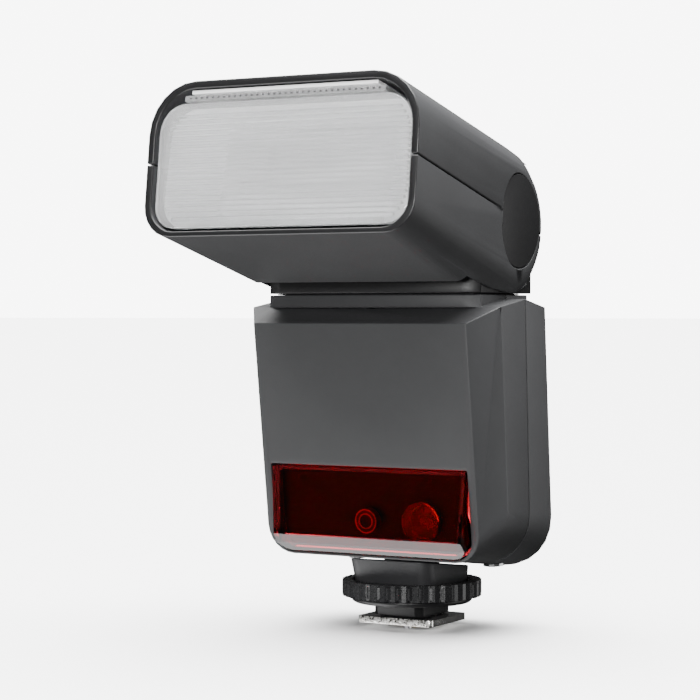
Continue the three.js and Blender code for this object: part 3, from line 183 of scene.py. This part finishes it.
# %% Moulded plastic, rubber and metal
def moulded(name, colour, rough, grain_mm=0.22, depth_mm=0.02, metal=0.0, vary=0.12, gloss=0.5):
    """A moulded or machined surface: fine grain as bump, and a slow drift of colour and gloss."""
    material, tree, surface, place = shader(name)
    drift = noise(tree, place, 9.0)
    grain = noise(tree, place, grain_mm, detail=2.0)
    darker = [channel * (1 - vary) for channel in colour]
    lighter = [min(channel * (1 + vary), 1) for channel in colour]
    tree.links.new(blend_colours(tree, drift, darker, lighter), surface.inputs["Base Color"])
    tree.links.new(spread(tree, grain, rough - 0.05, rough + 0.05), surface.inputs["Roughness"])
    surface.inputs["Metallic"].default_value = metal
    surface.inputs["Specular IOR Level"].default_value = gloss
    bumped(tree, surface, grain, depth_mm)
    return material


def brushed(name, colour, rough, along=(1, 1, 14)):
    """Metal with fine lines: noise squeezed across one direction."""
    material, tree, surface, place = shader(name)
    squeeze = tree.nodes.new("ShaderNodeMapping")
    squeeze.inputs["Scale"].default_value = along
    tree.links.new(place, squeeze.inputs["Vector"])
    lines = noise(tree, squeeze.outputs["Vector"], 1.2)
    darker = [channel * 0.86 for channel in colour]
    tree.links.new(blend_colours(tree, lines, darker, colour), surface.inputs["Base Color"])
    tree.links.new(spread(tree, lines, rough - 0.06, rough + 0.08), surface.inputs["Roughness"])
    surface.inputs["Metallic"].default_value = 1.0
    bumped(tree, surface, lines, 0.006)
    return material


def clear_plastic(name, colour, rough, through=1.0, cloud=0.04):
    """A transparent moulding, very slightly uneven."""
    material, tree, surface, place = shader(name)
    waves = noise(tree, place, 2.5)
    tinted = [channel * (1 - cloud) for channel in colour]
    tree.links.new(blend_colours(tree, waves, tinted, colour), surface.inputs["Base Color"])
    tree.links.new(spread(tree, waves, rough, rough + 0.02), surface.inputs["Roughness"])
    surface.inputs["Transmission Weight"].default_value = through
    surface.inputs["IOR"].default_value = 1.49
    return material


def nickel_with_painted_pit_shade(name):
    """Bright plate whose sawn edges are coarse: large soft pits whose bottoms are painted dark, as painted shade in
    the pits.
    """
    material, tree, surface, place = shader(name)
    pits = noise(tree, place, 0.55, detail=4.0)
    # the deepest pits get the dark colour: painted shade in the pits, while the pits themselves are bump
    tree.links.new(blend_colours(tree, spread(tree, pits, 0.0, 1.0), (0.32, 0.31, 0.29), (0.95, 0.94, 0.91)),
                   surface.inputs["Base Color"])
    tree.links.new(spread(tree, pits, 0.2, 0.42), surface.inputs["Roughness"])
    surface.inputs["Metallic"].default_value = 1.0
    bumped(tree, surface, pits, 0.12)
    return material


FINISH = {
    "housing": moulded("housing_plastic", (0.037, 0.0375, 0.039), 0.5, gloss=0.32),
    "trim": moulded("satin_black_plastic", (0.008, 0.008, 0.0085), 0.4, depth_mm=0.01, gloss=0.35),
    "ring": moulded("ring_gloss_plastic", (0.013, 0.013, 0.014), 0.28, grain_mm=0.5, depth_mm=0.008),
    "pedestal": moulded("pedestal_plastic", (0.028, 0.028, 0.03), 0.5),
    "nickel": moulded("bright_nickel", (0.86, 0.85, 0.83), 0.16, grain_mm=0.9, depth_mm=0.006, metal=1.0, vary=0.04),
    "steel": brushed("brushed_steel_pieces", (0.62, 0.62, 0.63), 0.3),
    "brass": brushed("gilt_contacts", (0.82, 0.64, 0.32), 0.24),
    "red_window": clear_plastic("deep_red_window", (0.45, 0.02, 0.03), 0.015),
    "clear": clear_plastic("clear_polycarbonate", (0.97, 0.975, 0.98), 0.02),
    "diffuser": clear_plastic("dimpled_panel", (0.95, 0.955, 0.96), 0.18, through=0.8),
    "card": moulded("white_card", (0.86, 0.86, 0.855), 0.6, grain_mm=0.4, depth_mm=0.004, vary=0.02),
    "mirror": moulded("reflector_sheet", (0.93, 0.935, 0.94), 0.18, grain_mm=1.5, depth_mm=0.01, metal=1.0, vary=0.03),
    "board": moulded("circuit_board", (0.02, 0.11, 0.065), 0.4, grain_mm=0.9, depth_mm=0.01, vary=0.3),
    "key": moulded("key_plastic", (0.075, 0.076, 0.079), 0.5),
    "rubber": moulded("soft_rubber", (0.02, 0.02, 0.021), 0.72, grain_mm=0.35, depth_mm=0.02, gloss=0.3),
    "display": moulded("display_panel", (0.34, 0.42, 0.36), 0.2, grain_mm=0.5, depth_mm=0.002, vary=0.05),
    "cell": moulded("cell_case", (0.045, 0.05, 0.056), 0.45),
    "sleeve": moulded("shrink_sleeve", (0.018, 0.022, 0.036), 0.3, grain_mm=2.0, depth_mm=0.02),
}
TUNNEL = moulded("tunnel_white", (0.9, 0.9, 0.9), 0.4, grain_mm=1.5, depth_mm=0.004, vary=0.02)
PRISM = clear_plastic("prism_polycarbonate", (0.97, 0.975, 0.98), 0.08, through=0.8)
DASH = moulded("dark_dashes", (0.05, 0.05, 0.052), 0.5)
# a colour darker than the covers: painted shade for the head's front lip and the walls inside its mouth
PAINTED_SHADE_LIP = moulded("opening_lip_painted_shade", (0.009, 0.009, 0.0095), 0.33, depth_mm=0.008)
# coarse pitted nickel for the foot's front faces, with painted shade in the pit bottoms
SAWN_EDGE_PAINTED_PIT_SHADE = nickel_with_painted_pit_shade("sawn_nickel_edge_painted_pit_shade")
print("finishes", len(FINISH) + 5)

# %% Give every node its finish
for node, held in frame["nodes"].items():
    held.data.materials.clear()
    held.data.materials.append(FINISH[slot_of[node]])

# %% [markdown]
# ## Soft moulded edges
# No moulded edge is truly sharp: a small radius catches a thin line of light and says how big the thing is.
# The frame's solids have exact but sharp edges made of loose triangles. A copy is merged into whole faces first,
# because a Bevel on loose triangles would round nothing. The copy then stands for the node it came from.

# %% Copies with rounded edges
MERGE = 0.004 * MM
FLAT_ENOUGH = math.radians(0.6)


def whole_faces(node):
    """A node's mesh with its doubles merged and its flat triangles joined into whole faces."""
    mesh = frame["nodes"][node].data.copy()
    work = bmesh.new()
    work.from_mesh(mesh)
    bmesh.ops.remove_doubles(work, verts=work.verts, dist=MERGE)
    bmesh.ops.dissolve_limit(work, angle_limit=FLAT_ENOUGH, verts=work.verts, edges=work.edges)
    bmesh.ops.recalc_face_normals(work, faces=work.faces)
    work.to_mesh(mesh)
    work.free()
    return mesh


def settled(piece):
    """The piece with its modifiers turned into plain mesh."""
    evaluated = piece.evaluated_get(bpy.context.evaluated_depsgraph_get())
    mesh = bpy.data.meshes.new_from_object(evaluated)
    piece.modifiers.clear()
    piece.data = mesh
    return piece


def smoothed(piece, sharper_than=35):
    """Smooth shading that stops at edges sharper than an angle in degrees."""
    piece.data.polygons.foreach_set("use_smooth", [True] * len(piece.data.polygons))
    piece.data.set_sharp_from_angle(angle=math.radians(sharper_than))
    return piece


def placed(piece, body):
    """The piece on its body."""
    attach(piece, body)
    return piece


def rounded_copy(node, radius_mm, segments=3, corner_from=28, material=None):
    """A copy of a node with every corner sharper than an angle rounded, standing for that node."""
    mesh = whole_faces(node)
    mesh.materials.clear()
    mesh.materials.append(material or FINISH[slot_of[node]])
    piece = bpy.data.objects.new(f"{node}_moulding", mesh)
    bpy.context.scene.collection.objects.link(piece)
    bevel = piece.modifiers.new("moulded radius", "BEVEL")
    bevel.width = radius_mm * MM
    bevel.segments = segments
    bevel.limit_method = "ANGLE"
    bevel.angle_limit = math.radians(corner_from)
    bevel.use_clamp_overlap = False
    bevel.harden_normals = False
    bpy.context.view_layer.update()
    smoothed(settled(piece))
    placed(piece, body_of[node])
    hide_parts(node)
    print("rounded", piece.name, len(piece.data.polygons), "faces")
    return piece


ROUNDED = {
    "body_front_cover": 0.25, "body_rear_cover": 0.25, "head_top_cover": 0.25, "head_bottom_cover": 0.25,
    "swivel_knuckle": 0.25, "pedestal": 0.3, "foot_block": 0.15, "foot_plate": 0.12,
    "battery_door": 0.2, "usb_cover": 0.2, "battery_latch": 0.1, "power_switch": 0.25,
    "function_button_1": 0.3, "function_button_2": 0.3, "function_button_3": 0.3, "function_button_4": 0.3,
    "test_button": 0.3, "set_button": 0.4, "control_dial": 0.3,
    "pivot_cap_left": 0.15, "pivot_cap_right": 0.15,
}
for node, radius in ROUNDED.items():
    rounded_copy(node, radius)

# %% [markdown]
# ## Painted shade on the lip, and the sawn edge
# The rim round the head's opening and the walls just inside it get a colour darker than the covers: painted shade on
# the faces that face ahead and on the walls inside the mouth. The front edge of the metal foot is sawn rather than
# polished, and the bottoms of its pits are painted dark: painted shade in the pits. Both are chosen face by face from
# where a face is and how it lies.

# %% Faces with a finish of their own: painted shade on the lip, painted shade in the foot's pits
PAINTED_SHADE_DEPTH = 8 * MM                # how far in from the lens's front the painted shade reaches
FACES_AHEAD = 0.35


def repaint(piece, finish, chosen):
    """Gives a second finish to the faces that chosen(centre, normal) picks."""
    piece.data.materials.append(finish)
    last = len(piece.data.materials) - 1
    count = 0
    for face in piece.data.polygons:
        if chosen(face.center, face.normal):
            face.material_index = last
            count += 1
    print(piece.name, count, "faces in", finish.name)


to_head = HEAD.inverted()
turn_to_head = to_head.to_3x3()
head_front = local_box("front_lens", HEAD)[0].y


def on_painted_shade_lip(centre, normal):
    """Faces that get painted shade: near the mouth of the head, facing ahead or in towards its middle."""
    place, facing = to_head @ centre, turn_to_head @ normal
    inwards = facing.x * place.x + facing.z * place.z < 0
    return place.y < head_front + PAINTED_SHADE_DEPTH and (facing.y < -FACES_AHEAD or inwards)


# these faces get the darker colour: painted shade
for cover in ("head_top_cover", "head_bottom_cover"):
    repaint(bpy.data.objects[f"{cover}_moulding"], PAINTED_SHADE_LIP, on_painted_shade_lip)
# the foot's front faces get pits with painted shade in their bottoms
repaint(bpy.data.objects["foot_plate_moulding"], SAWN_EDGE_PAINTED_PIT_SHADE, lambda centre, normal: normal.y < -FACES_AHEAD)

# %% [markdown]
# ## Repeated bars
# Prisms, ribs, dashes and rings are all one small bar repeated. A Geometry Nodes tree puts the bar on every point
# of a cloud, stretches it by the point's own size and turns it by the point's own angle. Bars then differ as much
# as their points do.

# %% Geometry Nodes: a bar on every point
def bar_tree():
    """A node group that puts a bar on each point of its input, sized and turned by attributes of the points."""
    tree = bpy.data.node_groups.new("bar_on_every_point", "GeometryNodeTree")
    tree.interface.new_socket("Points", in_out="INPUT", socket_type="NodeSocketGeometry")
    sides = tree.interface.new_socket("Bar Sides", in_out="INPUT", socket_type="NodeSocketInt")
    skin = tree.interface.new_socket("Finish", in_out="INPUT", socket_type="NodeSocketMaterial")
    tree.interface.new_socket("Bars", in_out="OUTPUT", socket_type="NodeSocketGeometry")
    add = tree.nodes.new
    given, made = add("NodeGroupInput"), add("NodeGroupOutput")
    bar = add("GeometryNodeMeshCylinder")
    bar.inputs["Radius"].default_value = 0.5
    bar.inputs["Depth"].default_value = 1.0
    size, turned = add("GeometryNodeInputNamedAttribute"), add("GeometryNodeInputNamedAttribute")
    for reader, attribute in ((size, "size"), (turned, "turned")):
        reader.data_type = "FLOAT_VECTOR"
        reader.inputs["Name"].default_value = attribute
    angles = add("FunctionNodeEulerToRotation")
    scatter = add("GeometryNodeInstanceOnPoints")
    whole, paint = add("GeometryNodeRealizeInstances"), add("GeometryNodeSetMaterial")
    for source, target in ((given.outputs["Points"], scatter.inputs["Points"]),
                           (given.outputs["Bar Sides"], bar.inputs["Vertices"]),
                           (bar.outputs["Mesh"], scatter.inputs["Instance"]),
                           (size.outputs["Attribute"], scatter.inputs["Scale"]),
                           (turned.outputs["Attribute"], angles.inputs["Euler"]),
                           (angles.outputs["Rotation"], scatter.inputs["Rotation"]),
                           (scatter.outputs["Instances"], whole.inputs["Geometry"]),
                           (whole.outputs["Geometry"], paint.inputs["Geometry"]),
                           (given.outputs["Finish"], paint.inputs["Material"]),
                           (paint.outputs["Geometry"], made.inputs["Bars"])):
        tree.links.new(source, target)
    return tree, sides.identifier, skin.identifier


BAR_TREE, SIDES_INPUT, FINISH_INPUT = bar_tree()


def bars(name, points, sides, space, finish, body):
    """Bars at (place, size, angles) in a tilted frame, in metres and radians, as one plain piece on a body."""
    mesh = bpy.data.meshes.new(name)
    mesh.from_pydata([place for place, _, _ in points], [], [])
    for attribute, values in (("size", [size for _, size, _ in points]), ("turned", [a for _, _, a in points])):
        held = mesh.attributes.new(attribute, "FLOAT_VECTOR", "POINT")
        held.data.foreach_set("vector", [number for value in values for number in value])
    piece = bpy.data.objects.new(name, mesh)
    bpy.context.scene.collection.objects.link(piece)
    modifier = piece.modifiers.new("bars", "NODES")
    modifier.node_group = BAR_TREE
    modifier[SIDES_INPUT] = sides
    modifier[FINISH_INPUT] = finish
    bpy.context.view_layer.update()
    settled(piece)
    piece.data.transform(space)
    placed(piece, body)
    print("bars", name, len(points), "of", len(piece.data.polygons), "faces")
    return piece


# %% The lens: a plate with prisms across its back
PRISM_SIDES = 4
PITCH = 1.1 * MM
PRISM_HEIGHT = 0.9 * MM
LENS_CORNER = 8 * MM
SIDE_ROOM = 1.2 * MM
lens_low, lens_high = local_box("front_lens", HEAD)
LENS_ROUNDING_MM = 0.2
LENS_THICKNESS = 2 * MM
rounded_copy("front_lens", LENS_ROUNDING_MM, material=PRISM)
RAKE = (lens_high.y - lens_low.y - LENS_THICKNESS) / (lens_high.z - lens_low.z)


def lens_half(z):
    """Half of the lens's width at a height, narrower where its corners turn."""
    from_edge = min(z - lens_low.z, lens_high.z - z)
    bite = max(LENS_CORNER - from_edge, 0)
    return lens_high.x - SIDE_ROOM - (LENS_CORNER - math.sqrt(max(LENS_CORNER ** 2 - bite ** 2, 0)))


prism_points = []
height_now = lens_low.z + 2 * PITCH
while height_now < lens_high.z - 2 * PITCH:
    back = lens_high.y - RAKE * (height_now - lens_low.z)
    prism_size = (PRISM_HEIGHT, PITCH, 2 * lens_half(height_now))
    prism_points.append(((0, back, height_now), prism_size, (0, math.pi / 2, 0)))
    height_now += PITCH
bars("lens_prisms", prism_points, PRISM_SIDES, HEAD, PRISM, "head")

# %% A white tunnel from the reflector's mouth to the lens
CORNER_STEPS = 6
TUNNEL_SHEET = 0.3 * MM
FRONT_CORNER = 5 * MM
BACK_CORNER = 2 * MM
mouth_low, mouth_high = local_box("reflector", HEAD)
TUNNEL_ROOM = 1.0 * MM


def rounded_ring(half_x, low_z, high_z, y, corner):
    """Points round a rounded rectangle that stands square to the head's axis."""
    ring = []
    for turn, (sx, cz) in enumerate(((1, high_z), (-1, high_z), (-1, low_z), (1, low_z))):
        middle = Vector((sx * (half_x - corner), y, cz + (-corner if cz == high_z else corner)))
        for step in range(CORNER_STEPS + 1):
            angle = math.pi / 2 * (turn + step / CORNER_STEPS)
            ring.append(middle + Vector((math.cos(angle), 0, math.sin(angle))) * corner)
    return ring


lens_back = lens_high.y + PRISM_HEIGHT
card_low = local_box("wide_panel", HEAD)[0].z
front_ring = rounded_ring(lens_high.x - TUNNEL_ROOM, lens_low.z + TUNNEL_ROOM, card_low - TUNNEL_ROOM,
                          lens_back, FRONT_CORNER)
back_ring = rounded_ring(mouth_high.x, mouth_low.z, mouth_high.z, mouth_low.y, BACK_CORNER)
tunnel_mesh = bpy.data.meshes.new("light_tunnel")
ring_size = len(front_ring)
walls = [(k, (k + 1) % ring_size, ring_size + (k + 1) % ring_size, ring_size + k) for k in range(ring_size)]
tunnel_mesh.from_pydata(front_ring + back_ring, [], walls)
tunnel_mesh.materials.append(TUNNEL)
light_tunnel = bpy.data.objects.new("light_tunnel", tunnel_mesh)
bpy.context.scene.collection.objects.link(light_tunnel)
thick = light_tunnel.modifiers.new("sheet", "SOLIDIFY")
thick.thickness = TUNNEL_SHEET
bpy.context.view_layer.update()
settled(light_tunnel)
light_tunnel.data.transform(HEAD)
placed(smoothed(light_tunnel), "head")
print("light tunnel", len(light_tunnel.data.polygons), "faces")

# %% Ribs round the lock ring
RIBS = 40
RIB_SIDES = 6
RIB_SIZE = (0.9 * MM, 1.1 * MM)
RIB_INSET = 0.35 * MM
RIB_SHARE = 0.72
UNEVENNESS = 0.12
UNEVEN_STEP = 3.7


def turned_ribs(name, count, radius, size, middle, space, finish, body):
    """Upright bars round a circle, a little uneven as moulded ribs are."""
    points = []
    for k in range(count):
        angle = 2 * math.pi * k / count
        uneven = 1 + UNEVENNESS * math.sin(UNEVEN_STEP * k)
        place = middle + Vector((math.cos(angle), math.sin(angle), 0)) * radius
        points.append((place, (size[0] * uneven, size[1], size[2]), (0, 0, angle)))
    return bars(name, points, RIB_SIDES, space, finish, body)


ring_low, ring_high = local_box("lock_ring", Matrix.Identity(4))
ring_middle = (ring_low + ring_high) / 2
rib_size = (*RIB_SIZE, RIB_SHARE * (ring_high.z - ring_low.z))
turned_ribs("lock_ring_ribs", RIBS, ring_high.x - RIB_INSET, rib_size, ring_middle,
            Matrix.Identity(4), FINISH["ring"], "lock_ring")

# %% A row of dashes on the wide panel's front edge
DASHES = 34
DASH_SIDES = 8
DASH_SIZE = (0.55 * MM, 0.16 * MM, 0.3 * MM)
panel_low, panel_high = local_box("wide_panel", HEAD)
dash_gap = (panel_high.x - panel_low.x) / (DASHES + 1)
dash_points = [((panel_low.x + dash_gap * (k + 1), panel_low.y, (panel_low.z + panel_high.z) / 2),
                DASH_SIZE, (0, 0, 0)) for k in range(DASHES)]
bars("wide_panel_dashes", dash_points, DASH_SIDES, HEAD, DASH, "wide_panel")

# %% A thin dark sheet in the gap under the knuckle as painted shade, and the sensor's rings behind the window
COLLAR_TOP = 71.362 * MM
GAP_MIDDLE = 0.15 * MM
GAP_SHADE_SHEET_SIZE = (48 * MM, 21 * MM, 0.2 * MM)
swivel = Vector(joints["head_swivel"]["pos_m"])
gap_shade_place = Matrix.Translation((swivel.x, swivel.y, COLLAR_TOP + GAP_MIDDLE))
gap_shade_frame = gap_shade_place @ Matrix.Diagonal((*GAP_SHADE_SHEET_SIZE, 1))
SQUARE = math.sqrt(2)
SQUARE_SIDES = 4
square_bar = ((0, 0, 0), (SQUARE, SQUARE, 1), (0, 0, math.pi / 4))
# a thin dark sheet in the gap between the knuckle and the collar: painted shade in the gap
bars("swivel_gap_shade_sheet", [square_bar], SQUARE_SIDES, gap_shade_frame, FINISH["rubber"], "body")

sensor_low, sensor_high = local_box("optical_sensor", BODY)
sensor_middle = (sensor_low + sensor_high) / 2
RING_THICK = 0.3 * MM
RING_SHARES = (0.95, 0.6)
RING_PARTS = 24
RING_SIDES = 6
RING_AHEAD = 0.1 * MM
PART_OVERLAP = 1.15
for number, share in enumerate(RING_SHARES):
    reach = share * (sensor_high.x - sensor_low.x) / 2
    part_size = (RING_THICK, RING_THICK, 2 * reach * math.sin(math.pi / RING_PARTS) * PART_OVERLAP)
    points = []
    for k in range(RING_PARTS):
        angle = 2 * math.pi * (k + 0.5) / RING_PARTS
        place = Vector((sensor_middle.x + reach * math.cos(angle), sensor_low.y - RING_AHEAD,
                        sensor_middle.z + reach * math.sin(angle)))
        points.append((place, part_size, (0, -angle, 0)))
    bars(f"sensor_ring_{number + 1}", points, RING_SIDES, BODY, FINISH["steel"], "body")

# %% [markdown]
# ## Studio
# A plain pale floor and three soft panels: a large one low on the left, one behind on the right and a small one
# ahead that lights the lens. The sky overhead lights the floor. The floor casts no shadow on the object, so the low
# panel can light the object from under it.

# %% Floor, lamps and background
FLOOR_SIZE = 60.0
floor_mesh = bpy.data.meshes.new("floor")
half = FLOOR_SIZE / 2
floor_mesh.from_pydata([(-half, -half, cad_low.z), (half, -half, cad_low.z), (half, half, cad_low.z),
                        (-half, half, cad_low.z)], [], [(0, 1, 2, 3)])
floor = bpy.data.objects.new("floor", floor_mesh)
bpy.context.scene.collection.objects.link(floor)
floor_mesh.materials.append(moulded("pale_floor", (0.9, 0.9, 0.9), 0.8, grain_mm=20, depth_mm=0.001, vary=0.01))


def panel_lamp(name, azimuth, elevation, distance, size, power):
    """A square soft panel that faces the middle of the flash."""
    light = bpy.data.lights.new(name, "AREA")
    light.shape = "RECTANGLE"
    light.size, light.size_y = size
    light.energy = power
    lamp = bpy.data.objects.new(name, light)
    bpy.context.scene.collection.objects.link(lamp)
    a, e = math.radians(azimuth), math.radians(elevation)
    towards = Vector((math.sin(a) * math.cos(e), -math.cos(a) * math.cos(e), math.sin(e)))
    lamp.location = Vector((0, 0, 0.06)) + towards * distance
    lamp.rotation_euler = towards.to_track_quat("Z", "Y").to_euler()
    return lamp


# each panel: azimuth and elevation in degrees, distance and size in metres, power in watts
PANELS = {
    "left_panel": (-58, -46, 0.9, (0.9, 0.9), 14),
    "right_panel": (120, 4, 1.0, (0.6, 1.0), 4),
    "lens_panel": (14, 6, 1.1, (0.25, 0.25), 11),
}
for panel, facts in PANELS.items():
    panel_lamp(panel, *facts)

# %% Sky and background
# The sky is bright overhead, where it lights the floor evenly, and dim near the horizon.
FLOOR_LIGHT = 8.0
DIM_LIGHT = 0.05
SKY_LIGHT = 18.5
world = bpy.data.worlds.new("studio")
bpy.context.scene.world = world
world.use_nodes = True
sky = world.node_tree
glow = sky.nodes["Background"]
glow.inputs["Color"].default_value = (1, 1, 1, 1)
direction = sky.nodes.new("ShaderNodeTexCoord").outputs["Generated"]
height = sky.nodes.new("ShaderNodeSeparateXYZ")
sky.links.new(direction, height.inputs["Vector"])
overhead = sky.nodes.new("ShaderNodeMapRange")
overhead.interpolation_type = "SMOOTHSTEP"
overhead.inputs["From Min"].default_value = 0.65
overhead.inputs["From Max"].default_value = 0.9
overhead.inputs["To Min"].default_value = DIM_LIGHT
overhead.inputs["To Max"].default_value = SKY_LIGHT
sky.links.new(height.outputs["Z"], overhead.inputs["Value"])
sky.links.new(overhead.outputs["Result"], glow.inputs["Strength"])
backdrop = sky.nodes.new("ShaderNodeBackground")
backdrop.inputs["Color"].default_value = (1, 1, 1, 1)
backdrop.inputs["Strength"].default_value = FLOOR_LIGHT
choose = sky.nodes.new("ShaderNodeMixShader")
ray = sky.nodes.new("ShaderNodeLightPath")
sky.links.new(ray.outputs["Is Camera Ray"], choose.inputs["Fac"])
sky.links.new(glow.outputs["Background"], choose.inputs[1])
sky.links.new(backdrop.outputs["Background"], choose.inputs[2])
sky.links.new(choose.outputs["Shader"], sky.nodes["World Output"].inputs["Surface"])
floor.visible_diffuse = False
floor.visible_glossy = False
floor.visible_shadow = False
